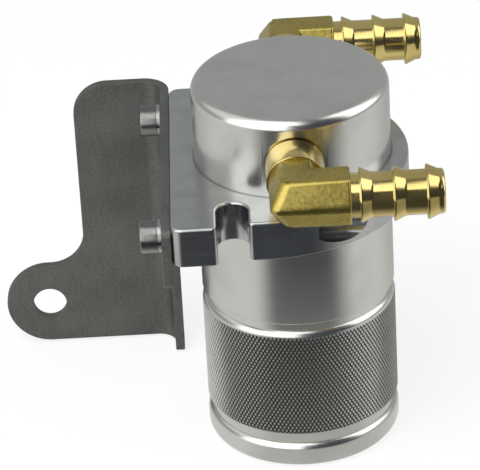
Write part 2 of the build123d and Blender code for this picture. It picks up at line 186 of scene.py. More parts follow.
class Graph:
    """A node tree that is filled from Python expressions."""

    def __init__(self, tree: bpy.types.NodeTree) -> None:
        """Empties the tree and keeps it."""
        self.tree = tree
        tree.nodes.clear()

    @staticmethod
    def find(sockets: bpy.types.bpy_prop_collection, key: Union[str, int]) -> bpy.types.NodeSocket:
        """Finds a socket.

        Args:
            sockets: A node's inputs or outputs.
            key: The socket's place, identifier or name.

        Returns:
            The socket.
        """
        if isinstance(key, int):
            return sockets[key]
        for socket in sockets:
            if socket.identifier == key:
                return socket
        return sockets[key]

    def add(
        self,
        kind: str,
        settings: Union[dict, None] = None,
        sockets: Union[dict, None] = None,
        output: Union[str, int] = 0,
    ) -> Union[Wire, None]:
        """Adds a node of any kind.

        Args:
            kind: The node's type.
            settings: The node's own settings.
            sockets: The value or link of each input.
            output: The output to give back.

        Returns:
            That output, or nothing for a node without any.
        """
        node = self.tree.nodes.new(kind)
        for name, value in (settings or {}).items():
            setattr(node, name, value)
        for key, value in (sockets or {}).items():
            socket = self.find(node.inputs, key)
            if isinstance(value, Wire):
                self.tree.links.new(value.socket, socket)
            else:
                socket.default_value = value
        return Wire(self, self.find(node.outputs, output)) if len(node.outputs) else None

    def millimetres(self) -> Wire:
        """Gives the Object coordinates in millimetres."""
        place = self.add("ShaderNodeTexCoord", output="Object")
        return self.add("ShaderNodeVectorMath", {"operation": "SCALE"}, {0: place, "Scale": 1 / MM})

    def split(self, vector: Wire) -> tuple[Wire, Wire, Wire]:
        """Splits a vector into its three values."""
        first = self.add("ShaderNodeSeparateXYZ", None, {0: vector})
        return first, first.output(1), first.output(2)

    def join(self, x: Value, y: Value, z: Value) -> Wire:
        """Makes a vector of three values."""
        return self.add("ShaderNodeCombineXYZ", None, {0: x, 1: y, 2: z})

    def noise(self, place: Wire, scale: float, detail: float = 2.0, rough: float = 0.5) -> Wire:
        """Adds a noise texture.

        Args:
            place: The coordinates.
            scale: The noise's scale.
            detail: The number of octaves.
            rough: The share that each octave keeps.

        Returns:
            The noise, from 0 to 1.
        """
        sockets = {"Vector": place, "Scale": scale, "Detail": detail, "Roughness": rough}
        return self.add("ShaderNodeTexNoise", {"noise_dimensions": "3D"}, sockets)

    @staticmethod
    def opaque(colour: Paint) -> Union[Wire, tuple[float, float, float, float]]:
        """Gives a plain colour its alpha and leaves a link as it is."""
        return colour if isinstance(colour, Wire) else (*colour, 1.0)

    def blend(self, share: Value, first: Paint, second: Paint) -> Wire:
        """Mixes two colours.

        Args:
            share: How much of the second colour shows.
            first: The first colour.
            second: The second colour.

        Returns:
            The mixed colour.
        """
        sockets = {"Factor_Float": share, "A_Color": self.opaque(first), "B_Color": self.opaque(second)}
        return self.add("ShaderNodeMix", {"data_type": "RGBA"}, sockets, "Result_Color")

    def bump(self, height: Wire, strength: float, depth: float) -> Wire:
        """Turns a height into a bent normal.

        Args:
            height: The height, from 0 to 1.
            strength: The share of the bump that shows.
            depth: The height of the relief in millimetres.

        Returns:
            The normal.
        """
        sockets = {"Height": height, "Strength": strength, "Distance": depth * MM}
        return self.add("ShaderNodeBump", None, sockets)

    def looks(self) -> Wire:
        """Tells rays that look on, straight, by a mirror or through glass, from those that gather light.

        Returns:
            1 for a ray that looks on, and 0 for any other.
        """
        path = self.add("ShaderNodeLightPath", output="Is Camera Ray")
        return path.at_least(path.output("Is Glossy Ray")).at_least(path.output("Is Transmission Ray"))

    def glow(self, colour: Paint) -> Wire:
        """Adds a surface that shows a colour as it is written."""
        return self.add("ShaderNodeEmission", None, {"Color": self.opaque(colour), "Strength": 1.0})

    def show(self, shader: Wire) -> None:
        """Ends a material's tree."""
        self.add("ShaderNodeOutputMaterial", None, {"Surface": shader})

    def surface(self, sockets: dict) -> None:
        """Ends a material's tree with one Principled shader."""
        self.show(self.add("ShaderNodeBsdfPrincipled", None, sockets))


@dataclass(frozen=True)
class Finish:
    """A surface finish."""

    name: str

    def material(self) -> bpy.types.Material:
        """Gives the finish's material, made at its first use.

        Returns:
            The material.
        """
        made = bpy.data.materials.get(self.name)
        if made is None:
            made = bpy.data.materials.new(self.name)
            made.use_nodes = True
            self.dress(Graph(made.node_tree))
        return made

    def dress(self, graph: Graph) -> None:
        """Fills the material's tree."""
        raise NotImplementedError


@dataclass(frozen=True)
class TurnedMetal(Finish):
    """Metal with the fine rings that a lathe tool leaves, aluminium unless a colour is given.

    Attributes:
        tint: The metal's colour.
        stain: The colour of its duller patches.
        stain_share: How far the patches take that colour.
        patches: The levels of noise between which they come in.
        rough: The mean roughness.
        ring: The strength of the tool rings.
        ring_depth: Their depth.
        ring_reach: How far they vary the roughness.
        broad_reach: How far the broader bands vary it.
        ring_drift: How much the rings change in a radian of turn.
        broad_drift: How much the bands change.
        turn: The axis that the piece was turned about.
        centre: A point on that axis.
    """

    tint: Colour = (0.69, 0.69, 0.66)
    stain: Colour = (0.60, 0.60, 0.58)
    stain_share: float = 0.8
    patches: tuple[float, float] = (0.4, 0.75)
    rough: float = 0.24
    ring: float = 0.15
    ring_depth: float = 0.02
    ring_reach: float = 0.12
    broad_reach: float = 0.04
    ring_drift: float = 0.15
    broad_drift: float = 0.5
    turn: Turn = Turn.Z
    centre: Corner = ORIGIN

    def dress(self, graph: Graph) -> None:
        """Lays the tool rings and the duller patches.

        Args:
            graph: The material's tree.
        """
        place = graph.millimetres()
        sockets = {0: place, 1: self.centre}
        x, y, z = graph.split(graph.add("ShaderNodeVectorMath", {"operation": "SUBTRACT"}, sockets))
        along, across, up = {Turn.X: (x, y, z), Turn.Y: (y, x, z), Turn.Z: (z, x, y)}[self.turn]
        radius = across.away(up)
        angle = up.turned_to(across)
        rings = graph.noise(graph.join(radius, along, angle * self.ring_drift), scale=5.5, rough=0.6)
        broad = graph.noise(graph.join(radius, along, angle * self.broad_drift), scale=0.55)
        patch = graph.noise(place, scale=0.05, detail=3.0)
        stained = patch.ramp(*self.patches) * self.stain_share
        graph.surface(
            {
                "Base Color": graph.blend(stained, self.tint, self.stain),
                "Metallic": 1.0,
                "Roughness": self.rough + rings.spread(self.ring_reach) + broad.spread(self.broad_reach),
                "Normal": graph.bump(rings, self.ring, self.ring_depth),
            }
        )


@dataclass(frozen=True)
class TurnedBrass(TurnedMetal):
    """Brass with the same rings, smoother than the aluminium."""

    tint: Colour = (0.78, 0.62, 0.24)
    stain: Colour = (0.64, 0.5, 0.18)
    rough: float = 0.15


@dataclass(frozen=True)
class MilledMetal(Finish):
    """Aluminium with the faint straight passes of a milling cutter, and painted shade at the dome's foot.

    Attributes:
        tint: The metal's colour.
        stain: The colour of its duller patches.
        patches: The levels of noise between which they come in.
        corner: The painted shade in the corner at the foot of the dome, where the collar meets its wall.
        corner_shade_r: The radii between which that painted shade lies.
        corner_rough: How much rougher the corner is.
        rough: The mean roughness.
        pass_reach: How far the passes vary it.
        pass_drift: How much the passes change along their run.
    """

    tint: Colour = (0.54, 0.55, 0.545)
    stain: Colour = (0.45, 0.46, 0.46)
    patches: tuple[float, float] = (0.35, 0.75)
    corner: Colour = (0.24, 0.245, 0.25)
    corner_shade_r: tuple[float, float] = (34.9, 36.0)
    corner_rough: float = 0.2
    rough: float = 0.23
    pass_reach: float = 0.2
    pass_drift: float = 0.04

    def dress(self, graph: Graph) -> None:
        """Lays the cutter passes, the duller patches and the painted shade line in the corner.

        Args:
            graph: The material's tree.
        """
        place = graph.millimetres()
        x, y, z = graph.split(place)
        passes = graph.noise(graph.join(x * self.pass_drift, y, z), scale=1.6, detail=3.0, rough=0.6)
        patch = graph.noise(place, scale=0.08, detail=3.0)
        skin = graph.blend(patch.ramp(*self.patches), self.tint, self.stain)
        # Painted shade: the collar darkens towards the corner colour where it meets the foot of the dome.
        clear = x.away(y).ramp(*self.corner_shade_r)
        rough = self.rough + passes.spread(self.pass_reach) + (1.0 - clear) * self.corner_rough
        graph.surface(
            {
                "Base Color": graph.blend(clear, self.corner, skin),
                "Metallic": 1.0,
                "Roughness": rough,
                "Normal": graph.bump(passes, strength=0.12, depth=0.02),
            }
        )


@dataclass(frozen=True)
class KnurledMetal(Finish):
    """Aluminium rolled into diamonds, dull between them and darkened there by painted shade.

    Attributes:
        root: The radius between the diamonds.
        crest: The radius of their tops.
        furrow_shade_and_grime: The painted shade between the diamonds, in a clean and a grimy tone.
        top: The colours of their tops.
        rough: The roughness between them.
        polish: How much smoother the tops are.
        grime_reach: How far the grime varies the roughness.
    """

    root: float = KNURL_ROOT_R
    crest: float = 34.9
    furrow_shade_and_grime: tuple[Colour, Colour] = ((0.05, 0.05, 0.047), (0.09, 0.089, 0.084))
    top: tuple[Colour, Colour] = ((0.52, 0.517, 0.495), (0.42, 0.417, 0.4))
    rough: float = 0.5
    polish: float = 0.2
    grime_reach: float = 0.1

    def dress(self, graph: Graph) -> None:
        """Paints shade into the furrows, with grime varying it, and wears the tops bright.

        Args:
            graph: The material's tree.
        """
        place = graph.millimetres()
        x, y, _ = graph.split(place)
        height = x.away(y).ramp(self.root, self.crest)
        grime = graph.noise(place, scale=0.12, detail=3.0)
        # Painted shade: the furrows between the diamonds are darkened, and grime varies their tone.
        furrow_shade_and_grime = graph.blend(grime, *self.furrow_shade_and_grime)
        top = graph.blend(grime, *self.top)
        graph.surface(
            {
                "Base Color": graph.blend(height, furrow_shade_and_grime, top),
                "Metallic": 1.0,
                "Roughness": self.rough - height * self.polish + grime.spread(self.grime_reach),
            }
        )


@dataclass(frozen=True)
class ForgedBrass(Finish):
    """Brass with the pebbled skin of a hot forging.

    Attributes:
        bright: The colour of the pebbles.
        dull: The colour between them.
        rough: The mean roughness.
        pebble_reach: How far the pebbles vary it.
        worn: The levels of noise between which the bright colour comes in.
        dented: The share of the dents in the relief. The pebbles make up the rest.
        dent: The distances from a dent's middle between which its side rises.
    """

    bright: Colour = (0.58, 0.465, 0.125)
    dull: Colour = (0.38, 0.3, 0.075)
    rough: float = 0.3
    pebble_reach: float = 0.12
    worn: tuple[float, float] = (0.25, 0.75)
    dented: float = 0.3
    dent: tuple[float, float] = (0.0, 0.9)

    def dress(self, graph: Graph) -> None:
        """Lays the pebbles, the dents and the duller colour between them.

        Args:
            graph: The material's tree.
        """
        place = graph.millimetres()
        pebble = graph.noise(place, scale=0.9, detail=1.5, rough=0.45)
        patch = graph.noise(place, scale=0.12)
        dents = graph.add("ShaderNodeTexVoronoi", {"feature": "F1"}, {"Vector": place, "Scale": 0.6})
        height = pebble * (1.0 - self.dented) + dents.ramp(*self.dent) * self.dented
        worn = (pebble * 0.5 + patch * 0.5).ramp(*self.worn)
        graph.surface(
            {
                "Base Color": graph.blend(worn, self.dull, self.bright),
                "Metallic": 1.0,
                "Roughness": self.rough + pebble.spread(self.pebble_reach),
                "Normal": graph.bump(height, strength=0.16, depth=0.22),
            }
        )


@dataclass(frozen=True)
class RolledSheet(Finish):
    """Dark rolled steel sheet, matte and mottled.

    Attributes:
        pale: The colour of its paler grain.
        deep: The colour of its darker grain.
        rough: The mean roughness.
        grain_reach: How far the grain varies it.
        metal: How metallic the scaled skin is.
        shares: The shares of clouds, grain and scratches in the tone.
        tones: The levels of tone between which the pale colour comes in.
        streak: How much a scratch changes across the sheet, up it, and along itself.
    """

    pale: Colour = (0.145, 0.148, 0.138)
    deep: Colour = (0.06, 0.062, 0.057)
    rough: float = 0.5
    grain_reach: float = 0.25
    metal: float = 0.55
    shares: Corner = (0.3, 0.6, 0.1)
    tones: tuple[float, float] = (0.28, 0.72)
    streak: Corner = (0.3, 0.06, 0.05)

    def dress(self, graph: Graph) -> None:
        """Lays the mottling and the scratches.

        Args:
            graph: The material's tree.
        """
        place = graph.millimetres()
        cloud = graph.noise(place, scale=0.06, detail=3.0)
        grain = graph.noise(place, scale=1.3, detail=3.0, rough=0.65)
        x, y, z = graph.split(place)
        across, climb, run = self.streak
        scratch = graph.noise(graph.join(x + y, (x + y) * across + z * climb, z * run), scale=1.2)
        tone = cloud * self.shares[0] + grain * self.shares[1] + scratch * self.shares[2]
        graph.surface(
            {
                "Base Color": graph.blend(tone.ramp(*self.tones), self.deep, self.pale),
                "Metallic": self.metal,
                "Roughness": self.rough + grain.spread(self.grain_reach),
                "Normal": graph.bump(grain, strength=0.2, depth=0.06),
            }
        )


@dataclass(frozen=True)
class PlainMetal(Finish):
    """Plated or plain steel with fine handling marks.

    Attributes:
        tint: The metal's colour.
        stain: The colour of its marks.
        marked: The levels of noise between which they come in.
        rough: The mean roughness.
        mark_reach: How far the marks vary it.
    """

    tint: Colour = (0.5, 0.51, 0.53)
    stain: Colour = (0.34, 0.35, 0.37)
    marked: tuple[float, float] = (0.3, 0.8)
    rough: float = 0.3
    mark_reach: float = 0.1

    def dress(self, graph: Graph) -> None:
        """Lays the handling marks.

        Args:
            graph: The material's tree.
        """
        place = graph.millimetres()
        marks = graph.noise(place, scale=0.9, detail=4.0, rough=0.6)
        graph.surface(
            {
                "Base Color": graph.blend(marks.ramp(*self.marked), self.tint, self.stain),
                "Metallic": 1.0,
                "Roughness": self.rough + marks.spread(self.mark_reach),
                "Normal": graph.bump(marks, strength=0.06, depth=0.03),
            }
        )


@dataclass(frozen=True)
class SealRubber(Finish):
    """Black rubber with a faint bloom.

    Attributes:
        black: The rubber's colour.
        bloom: The colour of the bloom.
        rough: The mean roughness.
        bloom_reach: How far the bloom varies it.
    """

    black: Colour = (0.012, 0.012, 0.013)
    bloom: Colour = (0.035, 0.035, 0.036)
    rough: float = 0.55
    bloom_reach: float = 0.3

    def dress(self, graph: Graph) -> None:
        """Lays the bloom.

        Args:
            graph: The material's tree.
        """
        bloom = graph.noise(graph.millimetres(), scale=0.6, detail=3.0)
        colour = graph.blend(bloom, self.black, self.bloom)
        graph.surface({"Base Color": colour, "Roughness": self.rough + bloom.spread(self.bloom_reach)})


@dataclass(frozen=True)
class KnittedWire(Finish):
    """A pack of crossing wires, with painted shade between them.

    Attributes:
        gap: The painted shade between the wires.
        wire: The wires' colour.
        rough: The roughness between them.
        polish: How much smoother the wires are.
        drift: How much a wire changes along its run.
        edge: The levels of noise between which a wire's side rises.
    """

    gap: Colour = (0.05, 0.05, 0.055)
    wire: Colour = (0.6, 0.6, 0.62)
    rough: float = 0.6
    polish: float = 0.3
    drift: float = 0.3
    edge: tuple[float, float] = (0.45, 0.6)

    def dress(self, graph: Graph) -> None:
        """Crosses two sets of wires and paints shade into the gaps.

        Args:
            graph: The material's tree.
        """
        x, y, z = graph.split(graph.millimetres())
        first = graph.noise(graph.join(x * self.drift + z, y, z * self.drift), scale=1.1)
        second = graph.noise(graph.join(x, y * self.drift - z, z * self.drift), scale=1.3)
        wires = first.ramp(*self.edge) * 0.5 + second.ramp(*self.edge) * 0.5
        graph.surface(
            {
                # Painted shade: the gaps between the wires take the dark gap colour.
                "Base Color": graph.blend(wires, self.gap, self.wire),
                "Metallic": 1.0,
                "Roughness": self.rough - wires * self.polish,
                "Normal": graph.bump(wires, strength=0.6, depth=0.4),
            }
        )


def picked(made: Sequence[object], kind: type) -> list:
    """Picks the parts of one kind from what a mesh operator made."""
    return [part for part in made if isinstance(part, kind)]


class Workpiece:
    """A mesh under construction.

    Attributes:
        broad: The rounding above which an outline's corner gets all its steps, not a quarter of them.
        rim_turn: The turn in radians above which an edge counts as a rim.
        bm: The mesh.
    """

    broad: float = 0.9
    rim_turn: float = 1.0

    def __init__(self) -> None:
        """Starts with an empty mesh."""
        self.bm = bmesh.new()

    @property
    def everything(self) -> list:
        """All points, edges and faces of the mesh."""
        return [*self.bm.verts, *self.bm.edges, *self.bm.faces]

    def outline(
        self, corners: Sequence[Corner], sheet: Sheet, closed: bool = True, segments: int = 10
    ) -> None:
        """Draws an outline of straight runs and rounded corners.

        Args:
            corners: The two places and the rounding of each corner.
            sheet: The plane that it lies on.
            closed: Whether the last corner joins the first.
            segments: The number of steps in a rounded corner.
        """
        points = []
        for first, second, _ in corners:
            place = (first, second, 0.0) if sheet is Sheet.XY else (first, 0.0, second)
            points.append(self.bm.verts.new(place))
        for start, end in zip(points, points[1:] + points[:1] if closed else points[1:]):
            self.bm.edges.new((start, end))
        for point, (_, _, rounding) in zip(points, corners):
            if rounding > 0.0:
                steps = segments if rounding > self.broad else max(2, segments // 4)
                self.bevel([point], rounding, steps, "VERTICES")

    def bevel(self, parts: Sequence[object], offset: float, segments: int, affect: str = "EDGES") -> None:
        """Rounds edges, or the corners of an outline.

        Args:
            parts: The edges or points.
            offset: The rounding's width.
            segments: The number of steps.
            affect: Whether edges or vertices are rounded.
        """
        bmesh.ops.bevel(
            self.bm,
            geom=parts,
            offset=offset,
            offset_type="OFFSET",
            segments=segments,
            profile=0.5,
            affect=affect,
            material=-1,
        )

    def sweep(
        self,
        parts: Sequence[object],
        angle: float,
        steps: int,
        turn: Turn = Turn.Z,
        centre: Corner = ORIGIN,
        merge: bool = False,
        copies: bool = False,
    ) -> None:
        """Sweeps or copies parts of the mesh about an axis.

        Args:
            parts: The parts.
            angle: The angle from first to last.
            steps: The number of steps.
            turn: The axis.
            centre: A point on the axis.
            merge: Whether the last step joins the first.
            copies: Whether the steps stay apart.
        """
        bmesh.ops.spin(
            self.bm,
            geom=parts,
            cent=centre,
            axis=turn.value,
            angle=angle,
            steps=steps,
            use_merge=merge,
            use_duplicate=copies,
        )

    def spin(self, turn: Turn, steps: int = 160) -> None:
        """Spins every edge a full turn and closes the poles.

        Args:
            turn: The axis.
            steps: The number of steps in the turn.
        """
        axis = Vector(turn.value)
        for edge in list(self.bm.edges):
            if all(v.co.cross(axis).length < TINY for v in edge.verts):
                self.bm.edges.remove(edge)
        self.sweep([*self.bm.verts, *self.bm.edges], math.tau, steps, turn, merge=True)
        self.close()

    def close(self, gap: float = TINY) -> None:
        """Merges the points within a gap and turns every face outwards."""
        bmesh.ops.remove_doubles(self.bm, verts=self.bm.verts, dist=gap)
        bmesh.ops.recalc_face_normals(self.bm, faces=self.bm.faces)

    def move(self, matrix: Matrix) -> None:
        """Moves the whole mesh."""
        bmesh.ops.transform(self.bm, matrix=matrix, verts=self.bm.verts)

    def fill(self) -> None:
        """Fills the drawn outline with one face."""
        bmesh.ops.contextual_create(self.bm, geom=self.bm.edges)

    def thicken(self, depth: float) -> None:
        """Extrudes every face upwards.

        Args:
            depth: The thickness.
        """
        made = bmesh.ops.extrude_face_region(self.bm, geom=self.bm.faces[:])["geom"]
        bmesh.ops.translate(self.bm, vec=(0.0, 0.0, depth), verts=picked(made, bmesh.types.BMVert))
        self.close()

    def rim(self, level: float) -> list[bmesh.types.BMEdge]:
        """Finds the outer edges of a flat face.

        Args:
            level: The height of the face.

        Returns:
            The edges.
        """
        flat = [e for e in self.bm.edges if all(abs(v.co.z - level) < TINY for v in e.verts)]
        return [e for e in flat if e.calc_face_angle(0.0) > self.rim_turn]

    def absorb(self, other: "Workpiece") -> None:
        """Takes another mesh in as a shell of its own.

        Args:
            other: The mesh, which is used up.
        """
        passing = bpy.data.meshes.new("passing")
        other.bm.to_mesh(passing)
        self.bm.from_mesh(passing)
        bpy.data.meshes.remove(passing)
        other.bm.free()

    def carve(self, cutter: "Workpiece") -> None:
        """Cuts another closed mesh out of this one.

        Args:
            cutter: The mesh to cut away, which is used up.
        """
        blank = self.as_object("blank")
        tool = cutter.as_object("tool")
        cut = blank.modifiers.new("cut", "BOOLEAN")
        cut.operation = "DIFFERENCE"
        cut.solver = "EXACT"
        cut.object = tool
        bpy.context.view_layer.update()
        cut_blank = blank.evaluated_get(bpy.context.evaluated_depsgraph_get())
        shape = bpy.data.meshes.new_from_object(cut_blank)
        self.bm.clear()
        self.bm.from_mesh(shape)
        for thing in (blank, tool):
            mesh = thing.data
            bpy.data.objects.remove(thing)
            bpy.data.meshes.remove(mesh)
        bpy.data.meshes.remove(shape)
        cutter.bm.free()

    def as_object(self, name: str) -> bpy.types.Object:
        """Makes an object of the mesh as it is.

        Args:
            name: The object's name.

        Returns:
            The object.
        """
        mesh = bpy.data.meshes.new(name)
        self.bm.to_mesh(mesh)
        thing = bpy.data.objects.new(name, mesh)
        bpy.context.scene.collection.objects.link(thing)
        return thing

    def place(
        self, name: str, finish: Finish, body: Body, slot: Slot, stands_for: str, crease: float = 34.0
    ) -> None:
        """Makes the finished piece.

        Args:
            name: The piece's name.
            finish: Its finish.
            body: The body that it rides on.
            slot: The record's slot for its finish. Not used.
            stands_for: The solid that it stands for.
            crease: The angle from which an edge stays sharp.
        """
        bmesh.ops.scale(self.bm, vec=(MM, MM, MM), verts=self.bm.verts)
        for face in self.bm.faces:
            face.smooth = True
        for line in self.bm.edges:
            line.smooth = len(line.link_faces) == 2 and line.calc_face_angle(0.0) < math.radians(crease)
        piece = self.as_object(name)
        self.bm.free()
        piece.data.materials.append(finish.material())
        weighting = piece.modifiers.new("shading", "WEIGHTED_NORMAL")
        weighting.keep_sharp = True
        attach(piece, body.value)
        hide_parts(stands_for)
        log.info("%s: %d faces on %s", name, len(piece.data.polygons), body.value)


def cylinder(radius: float, start: Corner, end: Corner, segments: int = 64) -> Workpiece:
    """Makes a plain bar to cut holes with.

    Args:
        radius: Its radius.
        start: The middle of one end.
        end: The middle of the other end.
        segments: The number of sides.

    Returns:
        The bar.
    """
    work = Workpiece()
    run = Vector(end) - Vector(start)
    bmesh.ops.create_cone(
        work.bm, cap_ends=True, segments=segments, radius1=radius, radius2=radius, depth=run.length
    )
    turn = Vector(Turn.Z.value).rotation_difference(run).to_matrix().to_4x4()
    work.move(Matrix.Translation((Vector(start) + Vector(end)) / 2) @ turn)
    return work


@dataclass
class Head:
    """The dome, collar, neck and spigot, milled and turned from one bar.

    Names in _r are radii, those in _x, _y and _z are places, and those in _round are roundings.

    Attributes:
        collar_lap: How far the collar reaches into the dome's wall.
        bore_past: How far the collar's bore is cut past its two faces.
        port_past: How far a port's facing cut runs out of the wall.
        mouth_past: How far a counterbore's cut runs out of the collar.
        weld: The gap within which the points of the plan are one.
    """

    bar_r: float = BAR_R
    neck_r: float = 34.645
    spigot_r: float = 31.025
    spigot_round: float = 0.8
    media_bore_r: float = 28.525
    chamber_r: float = 26.525
    chamber_round: float = 2.0
    spigot_bottom: float = 46.2
    neck_bottom: float = CUP_TOP
    neck_bevel: float = 0.8
    neck_round: float = 0.15
    collar_bottom: float = 97.1
    collar_top: float = 111.8
    step: float = 92.1
    top: float = 141.3
    chamber_top: float = 135.3
    dome_edge: float = 4.0
    arc_r: float = 51.165
    arc_x: float = -10.13
    left_x: float = ARM_FACE_X
    block_y: float = 53.435
    block_round: float = 4.0
    notch_r: float = 5.52
    notch_x: float = -22.415
    notch_end_y: float = 35.625
    mouth_round: float = 1.6
    top_bevel: float = 1.0
    bottom_bevel: float = 0.5
    collar_lap: float = 3.0
    screw_y: float = SCREW_Y
    screw_z: float = SCREW_Z
    hole_r: float = SCREW_HOLE_R
    counterbore_r: float = 5.5
    counterbore_x: float = 7.0
    port_z: float = PORT_Z
    port_face_r: float = 10.8
    bore_past: float = 1.0
    port_past: float = 2.0
    mouth_past: float = 5.0
    weld: float = 0.005
    turned: TurnedMetal = TurnedMetal("turned_dome")
    milled: MilledMetal = MilledMetal("milled_collar")

    def turned_body(self) -> Workpiece:
        """Spins the dome, neck and spigot, with the cavity inside.

        Returns:
            The turned shell, with its ports faced off.
        """
        middle = (self.collar_bottom + self.collar_top) / 2
        work = Workpiece()
        work.outline(
            [
                (self.media_bore_r, self.spigot_bottom, 0.0),
                (self.spigot_r, self.spigot_bottom, self.spigot_round),
                (self.spigot_r, self.neck_bottom, 0.0),
                (self.neck_r - self.neck_bevel, self.neck_bottom, self.neck_round),
                (self.neck_r, self.neck_bottom + self.neck_bevel, self.neck_round),
                (self.neck_r, middle, 0.0),
                (self.bar_r, middle, 0.0),
                (self.bar_r, self.top, self.dome_edge),
                (0.0, self.top, 0.0),
                (0.0, self.chamber_top, 0.0),
                (self.chamber_r, self.chamber_top, self.chamber_round),
                (self.chamber_r, self.step, 0.0),
                (self.media_bore_r, self.step, 0.0),
            ],
            Sheet.XZ,
            segments=12,
        )
        work.spin(Turn.Z)
        wall_y = math.sqrt(self.bar_r**2 - self.port_face_r**2)
        for side in Side:
            start = (0.0, side.value * wall_y, self.port_z)
            end = (0.0, side.value * (self.bar_r + self.port_past), self.port_z)
            work.carve(cylinder(self.port_face_r, start, end, segments=96))
        return work

    def collar(self) -> Workpiece:
        """Cuts the collar's plan, bevels its rims and bores its cross holes.

        Returns:
            The milled collar.
        """
        work = Workpiece()
        half = [
            (self.left_x, self.block_y, self.block_round),
            (self.notch_x - self.notch_r, self.block_y, self.mouth_round),
            (self.notch_x - self.notch_r, self.notch_end_y, self.notch_r * NEARLY),
            (self.notch_x + self.notch_r, self.notch_end_y, self.notch_r * NEARLY),
            (self.notch_x + self.notch_r, self.arc_r, self.mouth_round),
            (self.arc_x, self.arc_r, 0.0),
        ]
        front = [(x, -y, rounding) for x, y, rounding in half]
        work.outline(front[::-1] + half, Sheet.XY, closed=False)
        ends = [v for v in work.bm.verts if len(v.link_edges) == 1]
        first = min(ends, key=lambda v: v.co.y)
        work.sweep([first], math.pi, steps=96, centre=(self.arc_x, 0.0, 0.0))
        work.close(self.weld)
        work.fill()
        work.thicken(self.collar_top - self.collar_bottom)
        work.move(Matrix.Translation((0.0, 0.0, self.collar_bottom)))
        work.bevel(work.rim(self.collar_top), self.top_bevel, segments=3)
        work.bevel(work.rim(self.collar_bottom), self.bottom_bevel, segments=2)
        below = (0.0, 0.0, self.collar_bottom - self.bore_past)
        above = (0.0, 0.0, self.collar_top + self.bore_past)
        work.carve(cylinder(self.bar_r - self.collar_lap, below, above, segments=120))
        for side in Side:
            y = side.value * self.screw_y
            mouth = (self.arc_x + self.arc_r + self.mouth_past, y, self.screw_z)
            floor = (self.counterbore_x, y, self.screw_z)
            work.carve(cylinder(self.counterbore_r, floor, mouth, segments=72))
            work.carve(cylinder(self.hole_r, (self.notch_x, y, self.screw_z), floor, segments=56))
        return work

    def build(self) -> None:
        """Makes the turned body and the collar."""
        self.turned_body().place("turned_head", self.turned, Body.CAN, Slot.ALUMINIUM, "head")
        self.collar().place("milled_collar", self.milled, Body.CAN, Slot.ALUMINIUM, "head")


